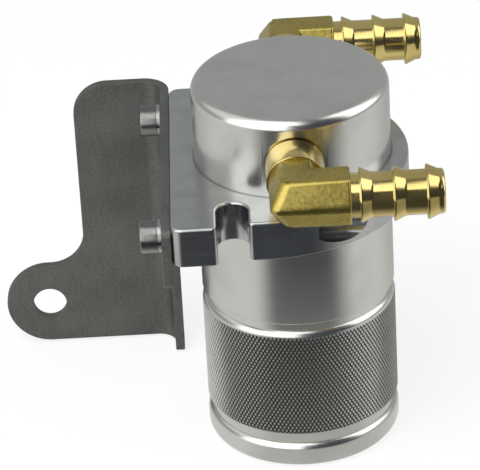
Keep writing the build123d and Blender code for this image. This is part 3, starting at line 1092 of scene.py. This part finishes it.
@dataclass
class Cup:
    """The screw-on cup with its band of rolled diamonds.

    Attributes:
        tooth_base: How far the diamonds' feet stand out of the band's ground.
        relief: How far their tops stand out of their feet.
        shrink: How much narrower their tops are, on each side.
        end_trim: How far the band's ends are cut back.
        end_scale: The scale of the inner edge that closes an end, against the outer one.
        weld: The gap within which the corners of neighbours are one.
    """

    bar_r: float = BAR_R
    shoulder_r: float = 34.675
    bore_r: float = 31.225
    sump_r: float = 30.525
    sump_round: float = 2.4
    gland_r: float = 33.225
    root_r: float = KNURL_ROOT_R
    groove_r: float = 33.275
    rim_r: float = 33.125
    rim_round: float = 0.2
    top: float = CUP_TOP
    knurl_top: float = 54.6
    knurl_bottom: float = 14.9
    lip: float = 7.65
    floor: float = 5.0
    gland_bottom: float = 52.2
    gland_top: float = 55.4
    thread_end: float = 45.2
    base_round: float = 4.2
    lip_round: float = 2.9
    shoulder_round: float = 3.0
    teeth: int = 150
    tooth_height: float = 2.53
    tooth_base: float = 0.05
    relief: float = 0.5
    shrink: float = 0.3
    end_trim: float = 0.02
    end_scale: float = 0.985
    weld: float = 0.01
    turned: TurnedMetal = TurnedMetal("turned_cup")
    knurled: KnurledMetal = KnurledMetal("knurled_band")

    @staticmethod
    def rounded_edge(wall_r: float, start: float, rounding: float, land_r: float) -> list[Corner]:
        """Finds the corners of a rounded edge that runs from the wall up to a deeper land.

        Args:
            wall_r: The wall's radius.
            start: The height where the wall begins to turn in.
            rounding: The edge's radius.
            land_r: The radius of the land above it.

        Returns:
            The corner of the rounding and its upper end.
        """
        sweep = math.acos(1.0 - (wall_r - land_r) / rounding)
        reach = rounding * math.tan(sweep / 2)
        land_z = start + rounding * math.sin(sweep)
        return [(wall_r, start + reach, reach * NEARLY), (land_r, land_z, 0.0)]

    def shell(self) -> Workpiece:
        """Spins the cup's section.

        Returns:
            The plain cup.
        """
        work = Workpiece()
        work.outline(
            [
                (0.0, 0.0, 0.0),
                (self.bar_r, 0.0, self.base_round),
                *self.rounded_edge(self.bar_r, self.lip, self.lip_round, self.groove_r),
                (self.groove_r, self.knurl_bottom, 0.0),
                (self.root_r, self.knurl_bottom, 0.0),
                (self.root_r, self.knurl_top, 0.0),
                (self.shoulder_r, self.knurl_top, 0.0),
                *self.rounded_edge(self.shoulder_r, self.knurl_top, self.shoulder_round, self.rim_r),
                (self.rim_r, self.top, self.rim_round),
                (self.bore_r, self.top, 0.0),
                (self.bore_r, self.gland_top, 0.0),
                (self.gland_r, self.gland_top, 0.0),
                (self.gland_r, self.gland_bottom, 0.0),
                (self.bore_r, self.gland_bottom, 0.0),
                (self.bore_r, self.thread_end, 0.0),
                (self.sump_r, self.thread_end, 0.0),
                (self.sump_r, self.floor, self.sump_round),
                (0.0, self.floor, 0.0),
            ],
            Sheet.XZ,
            segments=12,
        )
        work.spin(Turn.Z)
        return work

    def diamonds(self) -> Workpiece:
        """Rolls the diamonds of the knurled band.

        Returns:
            The band, open on its inner side.
        """
        work = Workpiece()
        bm = work.bm
        half = math.pi / self.teeth
        rise = self.tooth_height / 2
        base = self.root_r + self.tooth_base
        ring = [
            bm.verts.new((base * math.cos(a), base * math.sin(a), self.knurl_bottom + z))
            for a, z in ((-half, 0.0), (0.0, -rise), (half, 0.0), (0.0, rise))
        ]
        bm.faces.new(ring)
        others = self.teeth - 1
        work.sweep(work.everything, math.tau * others / self.teeth, others, copies=True)
        row = work.everything
        rows = math.ceil((self.knurl_top - self.knurl_bottom) / rise)
        for level in range(1, rows + 1):
            made = bmesh.ops.duplicate(bm, geom=row)["geom"]
            turn = Matrix.Rotation(half if level % 2 else 0.0, 4, "Z")
            place = Matrix.Translation((0.0, 0.0, rise * level)) @ turn
            bmesh.ops.transform(bm, matrix=place, verts=picked(made, bmesh.types.BMVert))
        work.close(self.weld)
        bmesh.ops.inset_individual(
            bm, faces=bm.faces[:], thickness=self.shrink, depth=self.relief, use_even_offset=True
        )
        for level, way in ((self.knurl_top, 1.0), (self.knurl_bottom, -1.0)):
            cut = bmesh.ops.bisect_plane(
                bm,
                geom=work.everything,
                plane_co=(0.0, 0.0, level - way * self.end_trim),
                plane_no=(0.0, 0.0, way),
                clear_outer=True,
            )["geom_cut"]
            made = bmesh.ops.extrude_edge_only(bm, edges=picked(cut, bmesh.types.BMEdge))["geom"]
            inner = picked(made, bmesh.types.BMVert)
            bmesh.ops.scale(bm, vec=(self.end_scale, self.end_scale, 1.0), verts=inner)
        return work

    def build(self) -> None:
        """Makes the cup and its knurled band."""
        self.shell().place("turned_cup", self.turned, Body.CUP, Slot.ALUMINIUM, "cup")
        self.diamonds().place("knurled_band", self.knurled, Body.CUP, Slot.ALUMINIUM, "cup", crease=15.0)


@dataclass
class HoseElbow:
    """A brass elbow: a turned shank, a forged hexagon with a mitred corner and a turned barb.

    Attributes:
        lap: How far the shank reaches into the forging, and its bore's cut out of it.
        flash: The width of the flats where the hexagon's two side corners were trimmed.
        mitre: The width of the rounding on the outer side of the corner.
        mitre_gap: How near to the mitre's plane an edge of it lies.
        edge: The width of the rounding on the other edges.
        sharp: The turn in radians above which an edge is rounded.
        tail_lap: How far the tail reaches into the forging.
        land: The width of a barb's crest.
        ramp: The length of a barb.
        tail_ring: The strength of the tool rings on the tail.
    """

    side: Side
    port_z: float = PORT_Z
    shank_r: float = 10.3
    shank_inner_y: float = 27.125
    shank_round: float = 0.6
    lap: float = 1.0
    hex_start_y: float = 46.595
    axis_y: float = 58.324
    flats: float = 17.7
    flash: float = 2.4
    forging_end_x: float = 18.0
    mitre: float = 3.2
    mitre_gap: float = 0.01
    edge: float = 1.0
    sharp: float = 0.2
    root_r: float = 7.75
    crest_r: float = 9.4
    bore_r: float = 6.0
    bore_start_x: float = -3.0
    tail_lap: float = 3.0
    first_x: float = 21.0
    pitch: float = 11.3
    land: float = 0.5
    ramp: float = 4.0
    root_round: float = 0.3
    crest_round: float = 0.2
    ramp_round: float = 0.5
    tip_x: float = 49.7
    tip_round: float = 1.2
    mouth_round: float = 0.4
    barbs: int = 3
    tail_ring: float = 0.3

    def shank(self) -> Workpiece:
        """Spins the shank that screws into the dome.

        Returns:
            The shank.
        """
        outer_y = self.hex_start_y + self.lap
        corners = [
            (0.0, self.shank_inner_y, 0.0),
            (self.shank_r, self.shank_inner_y, 0.0),
            (self.shank_r, outer_y, self.shank_round),
            (0.0, outer_y, 0.0),
        ]
        work = Workpiece()
        work.outline(corners, Sheet.XY, closed=False)
        work.spin(Turn.Y, steps=96)
        work.move(Matrix.Translation((0.0, 0.0, self.port_z)))
        if self.side is Side.FRONT:
            bmesh.ops.scale(work.bm, vec=(1.0, -1.0, 1.0), verts=work.bm.verts)
            work.close()
        return work

    def forging(self) -> Workpiece:
        """Extrudes the hexagon round its mitred corner and rounds its edges.

        Returns:
            The forging, drilled through.
        """
        work = Workpiece()
        way = self.side.value
        flat, flash = self.flats / 2, self.flash / 2
        vertex = self.flats / math.sqrt(3)
        rim = vertex - flash / math.sqrt(3)
        half = [(vertex / 2, flat), (rim, flash), (rim, -flash), (vertex / 2, -flat)]
        section = half + [(-x, z) for x, z in half[::-1]]
        ring = [work.bm.verts.new((x, way * self.hex_start_y, self.port_z + z)) for x, z in section]
        last = work.bm.faces.new(ring)
        for stage in ("corner", "end"):
            inner = last
            made = bmesh.ops.extrude_face_region(work.bm, geom=[inner])["geom"]
            last = picked(made, bmesh.types.BMFace)[0]
            for v in last.verts:
                if stage == "corner":
                    v.co.y = way * (self.axis_y - v.co.x)
                else:
                    v.co.x = self.forging_end_x
        work.bm.faces.remove(inner)
        work.close()
        plain = [e for e in work.bm.edges if self._is_sharp(e) and not self._on_mitre(e)]
        work.bevel(plain, self.edge, segments=4)
        mitred = [e for e in work.bm.edges if self._is_sharp(e) and self._on_mitre(e)]
        # The mitre's inner half is a hollow corner and stays as it is.
        outer = [e for e in mitred if (e.verts[0].co.x + e.verts[1].co.x) / 2 < -vertex / 4]
        work.bevel(outer, self.mitre, segments=4)
        start = (self.bore_start_x, way * self.axis_y, self.port_z)
        end = (self.forging_end_x + self.lap, way * self.axis_y, self.port_z)
        work.carve(cylinder(self.bore_r, start, end))
        return work

    def _on_mitre(self, line: bmesh.types.BMEdge) -> bool:
        """Tells whether an edge lies on the mitre."""
        offsets = [self.side.value * v.co.y - self.axis_y + v.co.x for v in line.verts]
        return max(abs(offset) for offset in offsets) < self.mitre_gap

    def _is_sharp(self, line: bmesh.types.BMEdge) -> bool:
        """Tells whether an edge turns enough to be rounded."""
        return line.calc_face_angle(0.0) > self.sharp

    def barb(self) -> Workpiece:
        """Spins the barbed tail.

        Returns:
            The tail, with its bore.
        """
        start_x = self.forging_end_x - self.tail_lap
        corners = [(start_x, self.bore_r, 0.0), (start_x, self.root_r, 0.0)]
        for turn in range(self.barbs):
            x = self.first_x + turn * self.pitch
            corners += [
                (x, self.root_r, self.root_round),
                (x, self.crest_r, self.crest_round),
                (x + self.land, self.crest_r, self.crest_round),
                (x + self.ramp, self.root_r, self.ramp_round),
            ]
        corners += [(self.tip_x, self.root_r, self.tip_round), (self.tip_x, self.bore_r, self.mouth_round)]
        work = Workpiece()
        work.outline(corners, Sheet.XZ)
        work.spin(Turn.X, steps=112)
        work.move(Matrix.Translation((0.0, self.side.value * self.axis_y, self.port_z)))
        return work

    def build(self) -> None:
        """Makes the three parts of the elbow.

        Both forgings share a finish, as both shanks do, and each tail's rings have their own centre.
        """
        side = self.side.name.lower()
        node = side + "_hose_elbow"
        skin = ForgedBrass("pebbled_brass")
        shank = TurnedBrass("turned_brass_shank", turn=Turn.Y, centre=(0.0, 0.0, self.port_z))
        tail_centre = (0.0, self.side.value * self.axis_y, self.port_z)
        tail_name = "turned_brass_tail_" + side
        tail = TurnedBrass(tail_name, ring=self.tail_ring, turn=Turn.X, centre=tail_centre)
        self.forging().place(side + "_elbow_forging", skin, Body.CAN, Slot.BRASS, node, crease=25.0)
        self.shank().place(side + "_elbow_shank", shank, Body.CAN, Slot.BRASS, node)
        self.barb().place(side + "_elbow_tail", tail, Body.CAN, Slot.BRASS, node)


@dataclass
class Bracket:
    """The folded sheet that carries the can, drawn flat and then bent."""

    sheet: float = 3.4
    inner_x: float = ARM_FACE_X
    back_y: float = 66.435
    bend_r: float = 10.0
    top: float = 110.2
    bottom: float = 1.0
    foot_round: float = 0.6
    arm_bottom: float = 87.15
    arm_end_y: float = -51.335
    arm_round: float = 3.0
    return_y: float = 50.255
    return_round: float = 4.0
    plate_left_x: float = -79.795
    plate_round: float = 12.9
    ear_x: float = -94.465
    ear_r: float = 16.41
    ear_hole_r: float = 6.35
    ear_fillet: float = 13.27
    screw_y: float = SCREW_Y
    screw_z: float = SCREW_Z
    screw_hole_r: float = SCREW_HOLE_R
    edge: float = 0.4
    bend_steps: int = 14
    finish: RolledSheet = RolledSheet("rolled_sheet")

    @property
    def mid_r(self) -> float:
        """The radius of the bend at the middle of the sheet."""
        return self.bend_r - self.sheet / 2

    @property
    def bend_start(self) -> float:
        """Where the bend starts, along the flat sheet."""
        return self.back_y - self.bend_r

    @property
    def bend_end(self) -> float:
        """Where the bend ends, along the flat sheet."""
        return self.bend_start + self.mid_r * math.pi / 2

    def flat(self, x: float) -> float:
        """Gives the place along the flat sheet of a point on the plate."""
        return self.bend_end + self.inner_x - self.bend_r - x

    def blank(self) -> Workpiece:
        """Cuts the flat blank.

        Returns:
            The blank, scored along the bend.
        """
        work = Workpiece()
        ear_top = self.bottom + 2 * self.ear_r
        ear_end = self.flat(self.ear_x - self.ear_r)
        plate_end = self.flat(self.plate_left_x)
        work.outline(
            [
                (self.arm_end_y, self.arm_bottom, self.arm_round),
                (self.return_y, self.arm_bottom, self.return_round),
                (self.return_y, self.bottom, self.foot_round),
                (ear_end, self.bottom, self.ear_r * NEARLY),
                (ear_end, ear_top, self.ear_r * NEARLY),
                (plate_end, ear_top, self.ear_fillet),
                (plate_end, self.top, self.plate_round),
                (self.arm_end_y, self.top, self.arm_round),
            ],
            Sheet.XY,
            segments=24,
        )
        work.fill()
        work.thicken(self.sheet)
        for level in (0.0, self.sheet):
            work.bevel(work.rim(level), self.edge, segments=2)
        for step in range(self.bend_steps + 1):
            along = self.bend_start + (self.bend_end - self.bend_start) * step / self.bend_steps
            bmesh.ops.bisect_plane(
                work.bm, geom=work.everything, plane_co=(along, 0.0, 0.0), plane_no=Turn.X.value
            )
        work.move(Matrix.Translation((0.0, 0.0, -self.sheet / 2)))
        return work

    def fold(self, work: Workpiece) -> None:
        """Bends the blank to its angle.

        Args:
            work: The flat blank.
        """
        centre_x = self.inner_x - self.bend_r
        for v in work.bm.verts:
            along, up, out = v.co
            radius = self.mid_r + out
            angle = min(max((along - self.bend_start) / self.mid_r, 0.0), math.pi / 2)
            before = min(along - self.bend_start, 0.0)
            after = max(along - self.bend_end, 0.0)
            v.co = (
                centre_x + radius * math.cos(angle) - after,
                self.bend_start + radius * math.sin(angle) + before,
                up,
            )
        work.close()

    def punch(self, work: Workpiece) -> None:
        """Punches the ear hole and the two screw holes.

        Args:
            work: The folded sheet.
        """
        ear = (self.ear_x, self.back_y + self.edge, self.bottom + self.ear_r)
        front = (self.ear_x, self.back_y - self.sheet - self.edge, ear[2])
        work.carve(cylinder(self.ear_hole_r, front, ear))
        for side in Side:
            y = side.value * self.screw_y
            inner = (self.inner_x + self.edge, y, self.screw_z)
            outer = (self.inner_x - self.sheet - self.edge, y, self.screw_z)
            work.carve(cylinder(self.screw_hole_r, outer, inner))

    def build(self) -> None:
        """Cuts, folds and punches the bracket."""
        work = self.blank()
        self.fold(work)
        self.punch(work)
        work.place("folded_bracket", self.finish, Body.CAN, Slot.DARK_STEEL, "bracket")


@dataclass
class CapScrews:
    """The two socket head screws that hold the bracket.

    Attributes:
        seat_x: Where the head's underside lies.
        face_x: Where its face lies.
        reach_x: Where the screw ends.
        socket_past: How far the socket's cut runs out of the face.
    """

    seat_x: float = -48.355
    seat_round: float = 0.25
    face_x: float = -54.455
    reach_x: float = -32.655
    end_round: float = 0.5
    screw_y: float = SCREW_Y
    screw_z: float = SCREW_Z
    screw_r: float = 3.5
    head_r: float = 5.8
    chamfer: float = 0.7
    socket_flats: float = 5.5
    socket_depth: float = 3.2
    socket_past: float = 1.0
    finish: PlainMetal = PlainMetal(
        "plated_screw", tint=(0.26, 0.26, 0.255), stain=(0.2, 0.2, 0.195), rough=0.26
    )

    def screw(self, side: Side) -> Workpiece:
        """Spins one screw and broaches its socket.

        Args:
            side: The end of the bracket arm that it goes through.

        Returns:
            The screw.
        """
        work = Workpiece()
        work.outline(
            [
                (self.face_x, 0.0, 0.0),
                (self.face_x, self.head_r, self.chamfer),
                (self.seat_x, self.head_r, self.seat_round),
                (self.seat_x, self.screw_r, 0.0),
                (self.reach_x, self.screw_r, self.end_round),
                (self.reach_x, 0.0, 0.0),
            ],
            Sheet.XZ,
            closed=False,
        )
        work.spin(Turn.X, steps=64)
        start = (self.face_x - self.socket_past, 0.0, 0.0)
        end = (self.face_x + self.socket_depth, 0.0, 0.0)
        work.carve(cylinder(self.socket_flats / math.sqrt(3), start, end, segments=6))
        work.move(Matrix.Translation((0.0, side.value * self.screw_y, self.screw_z)))
        return work

    def build(self) -> None:
        """Makes both screws as one piece."""
        work = self.screw(Side.FRONT)
        work.absorb(self.screw(Side.REAR))
        work.place("cap_screws", self.finish, Body.CAN, Slot.PLATED, "bracket_screws")


@dataclass
class InnerPieces:
    """The solids that keep their own shape and get a finish."""

    finishes: dict[str, Finish] = field(
        default_factory=lambda: {
            "lock_washers": PlainMetal("washer_steel", tint=(0.5, 0.5, 0.5), stain=(0.3, 0.3, 0.3)),
            "cup_seal": SealRubber("ring_rubber"),
            "divider_plate": PlainMetal("sheet_steel"),
            "upper_screen": PlainMetal("sheet_steel"),
            "lower_screen": PlainMetal("sheet_steel"),
            "retaining_ring": PlainMetal("spring_steel", tint=(0.3, 0.31, 0.33), stain=(0.2, 0.2, 0.22)),
            "coalescing_mesh": KnittedWire("knitted_wire"),
        }
    )

    def build(self) -> None:
        """Dresses each solid."""
        for node, finish in self.finishes.items():
            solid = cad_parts[node]
            solid.data.materials.clear()
            solid.data.materials.append(finish.material())
            log.info("%s: keeps its solid, in %s", node, finish.name)


@dataclass(frozen=True)
class PaleFloor(Finish):
    """The pale floor, lifted for the camera so that it reads as white.

    Attributes:
        pale: The two tones of the floor.
        lift: The share of white that a ray that looks on sees.
    """

    pale: tuple[Colour, Colour] = ((0.9, 0.9, 0.9), (0.92, 0.92, 0.92))
    lift: float = 0.8

    def dress(self, graph: Graph) -> None:
        """Mixes the lit floor with its own white.

        Args:
            graph: The material's tree.
        """
        looks = graph.looks()
        speck = graph.noise(graph.millimetres(), scale=0.004)
        lit = graph.add("ShaderNodeBsdfDiffuse", None, {"Color": graph.blend(speck, *self.pale)})
        white = graph.glow(WHITE)
        graph.show(graph.add("ShaderNodeMixShader", None, {0: looks * self.lift, 1: lit, 2: white}))


@dataclass(frozen=True)
class CardPaint(Finish):
    """The even tone of a studio card, which is a lit screen's unless another is given."""

    tone: Colour = (1.9, 1.9, 1.87)

    def dress(self, graph: Graph) -> None:
        """Gives the card its tone."""
        graph.show(graph.glow(self.tone))


@dataclass(frozen=True)
class GroundShade(Finish):
    """The ground as metal mirrors it: light at the sides, falling off to dark out in front.

    Attributes:
        light: The tone at the sides.
        back: The tone behind.
        foot: The tone in front, at the foot of the can.
        far: The tone far out in front.
        reach: The distances between which the front falls off, in millimetres.
        left: The bearings between which the left side turns dark, in radians.
        right: The bearings between which the right side turns light again.
        behind: The bearings on either side between which the light dims.
    """

    light: Colour = (0.73, 0.73, 0.71)
    back: Colour = (0.5, 0.5, 0.49)
    foot: Colour = (0.58, 0.58, 0.56)
    far: Colour = (0.06, 0.064, 0.072)
    reach: tuple[float, float] = (20.0, 185.0)
    left: tuple[float, float] = (-0.87, -0.42)
    right: tuple[float, float] = (0.55, 1.15)
    behind: tuple[float, float] = (1.6, 2.5)

    def dress(self, graph: Graph) -> None:
        """Shades the ground by distance and bearing.

        Args:
            graph: The material's tree.
        """
        x, y, _ = graph.split(graph.millimetres())
        bearing = x.turned_to(y * -1.0)
        front = bearing.ramp(*self.left) * (1.0 - bearing.ramp(*self.right))
        either_side = (bearing * bearing) ** 0.5
        side = graph.blend(either_side.ramp(*self.behind), self.light, self.back)
        ahead = graph.blend(x.away(y).ramp(*self.reach), self.foot, self.far)
        graph.show(graph.glow(graph.blend(front, side, ahead)))


def stand(work: Workpiece, name: str, finish: Finish) -> bpy.types.Object:
    """Sets up a part of the studio from a mesh that is already in metres.

    Args:
        work: The mesh, which is used up.
        name: The part's name.
        finish: Its finish.

    Returns:
        The part.
    """
    thing = work.as_object(name)
    work.bm.free()
    thing.data.materials.append(finish.material())
    return thing


@dataclass(frozen=True)
class Screen:
    """A curved screen round the object that shows only in reflections.

    Attributes:
        finish: Its finish, which also names it.
        profile: Its upright section.
        start: The bearing where it begins, in degrees to the right of the camera's side.
        end: The bearing where it ends.
        steps: The number of steps in its curve.
    """

    finish: Finish
    profile: Profile
    start: float = 0.0
    end: float = 360.0
    steps: int = 16

    def build(self) -> None:
        """Bends the screen round the object and hides it from all but mirrors."""
        work = Workpiece()
        work.outline(self.profile.value, Sheet.XZ, closed=False)
        work.move(Matrix.Rotation(math.radians(self.start - 90.0), 4, "Z"))
        work.sweep([*work.bm.verts, *work.bm.edges], math.radians(self.end - self.start), self.steps)
        thing = stand(work, self.finish.name, self.finish)
        thing.visible_camera = False
        thing.visible_diffuse = False
        thing.visible_shadow = False
        thing.visible_transmission = False


@dataclass(frozen=True)
class Softbox:
    """A square lamp that faces the can and stays out of its reflections.

    Attributes:
        name: The lamp's name.
        place: Where it hangs.
        size: Its side.
        power: Its power in watts.
        target: The point that it faces.
    """

    name: str
    place: Corner
    size: float
    power: float
    target: Corner = (0.0, 0.0, 0.1)

    def build(self) -> None:
        """Hangs the lamp and turns it to the can."""
        light = bpy.data.lights.new(self.name, "AREA")
        light.shape = "SQUARE"
        light.size = self.size
        light.energy = self.power
        thing = bpy.data.objects.new(self.name, light)
        thing.visible_glossy = False
        thing.location = self.place
        ahead = Vector(self.target) - Vector(self.place)
        thing.rotation_euler = ahead.to_track_quat("-Z", "Y").to_euler()
        bpy.context.scene.collection.objects.link(thing)


@dataclass
class Studio:
    """The floor, the soft light, the screens that shape the reflections, and the camera.

    Attributes:
        eye: The camera's place, in millimetres.
        ahead: The way that it looks.
        right: The way to the picture's right.
        focal_px: Its focal length in pixels of the picture.
        image_width: The picture's width in pixels.
        sensor: The sensor's width in millimetres.
        clip: The nearest and farthest distance that it sees.
        floor_size: Half the floor's side.
        sky_level: The light that the surround gives the object.
        lamps: The softboxes.
        screens: The screens, in the order in which they are set up.
    """

    eye: Corner = (-17.8, -1053.8, 674.3)
    ahead: Corner = (-0.00194, 0.87053, -0.49210)
    right: Corner = (0.99854, -0.02487, -0.04794)
    focal_px: float = 3374.7
    image_width: float = 480.0
    sensor: float = 36.0
    clip: tuple[float, float] = (0.05, 50.0)
    floor_size: float = 4.0
    sky_level: float = 0.55
    lamps: tuple[Softbox, ...] = (
        Softbox("key", (-0.42, -0.55, 1.15), size=0.75, power=14.0),
        Softbox("side", (1.05, -0.3, 0.8), size=0.42, power=4.0),
    )
    screens: tuple[Screen, ...] = (
        Screen(CardPaint("left_wall", (0.38, 0.38, 0.38)), Profile.WALL, -130.0, -76.0),
        Screen(CardPaint("left_scrim", (0.8, 0.8, 0.79)), Profile.SCRIM, -122.0, -76.0),
        Screen(CardPaint("left_screen"), Profile.WALL, -76.0, -4.0),
        Screen(CardPaint("front_gap", (0.05, 0.054, 0.066)), Profile.WALL, -4.0, 64.0),
        Screen(CardPaint("right_wall", (0.3, 0.3, 0.3)), Profile.WALL, 64.0, 115.0),
        Screen(CardPaint("back_wall", (0.39, 0.403, 0.406)), Profile.WALL, 115.0, 230.0),
        Screen(CardPaint("roof_screen"), Profile.ROOF, -70.0, 14.0),
        Screen(CardPaint("right_screen"), Profile.PANEL, 64.0, 115.0),
        Screen(CardPaint("crown", (0.2, 0.2, 0.21)), Profile.CROWN),
        Screen(GroundShade("ground_shade"), Profile.GROUND),
    )

    def floor(self) -> None:
        """Lays the floor."""
        work = Workpiece()
        bmesh.ops.create_grid(work.bm, x_segments=2, y_segments=2, size=self.floor_size)
        stand(work, "floor", PaleFloor("pale_floor"))

    def sky(self) -> None:
        """Sets an even surround, plain where it lights the object and white where a ray looks on."""
        world = bpy.data.worlds.new("surround")
        world.use_nodes = True
        bpy.context.scene.world = world
        graph = Graph(world.node_tree)
        white = graph.opaque(WHITE)
        looks = graph.looks()
        plain = graph.add("ShaderNodeBackground", None, {"Color": white, "Strength": self.sky_level})
        pale = graph.add("ShaderNodeBackground", None, {"Color": white, "Strength": 1.0})
        mixed = graph.add("ShaderNodeMixShader", None, {0: looks, 1: plain, 2: pale})
        graph.add("ShaderNodeOutputWorld", None, {"Surface": mixed})

    def camera(self) -> None:
        """Sets the camera at the picture's viewpoint."""
        ahead = Vector(self.ahead).normalized()
        right = Vector(self.right).normalized()
        up = right.cross(ahead).normalized()
        lens = bpy.data.cameras.new("camera")
        lens.sensor_width = self.sensor
        lens.lens = self.focal_px / self.image_width * self.sensor
        lens.clip_start = self.clip[0]
        lens.clip_end = self.clip[1]
        thing = bpy.data.objects.new("camera", lens)
        turn = Matrix((right, up, -ahead)).transposed().to_4x4()
        thing.matrix_world = Matrix.Translation(Vector(self.eye) * MM) @ turn
        bpy.context.scene.collection.objects.link(thing)
        bpy.context.scene.camera = thing

    def build(self) -> None:
        """Sets up the whole studio."""
        self.floor()
        self.sky()
        for part in (*self.lamps, *self.screens):
            part.build()
        self.camera()


def main() -> None:
    """Builds every piece in order, then the studio."""
    logging.basicConfig(level=logging.INFO, format="%(name)s %(message)s")
    bpy.context.scene.view_settings.view_transform = "Standard"
    elbows = [HoseElbow(side) for side in Side]
    for part in (Head(), Cup(), *elbows, Bracket(), CapScrews(), InnerPieces(), Studio()):
        part.build()


if __name__ == "__main__":
    main()
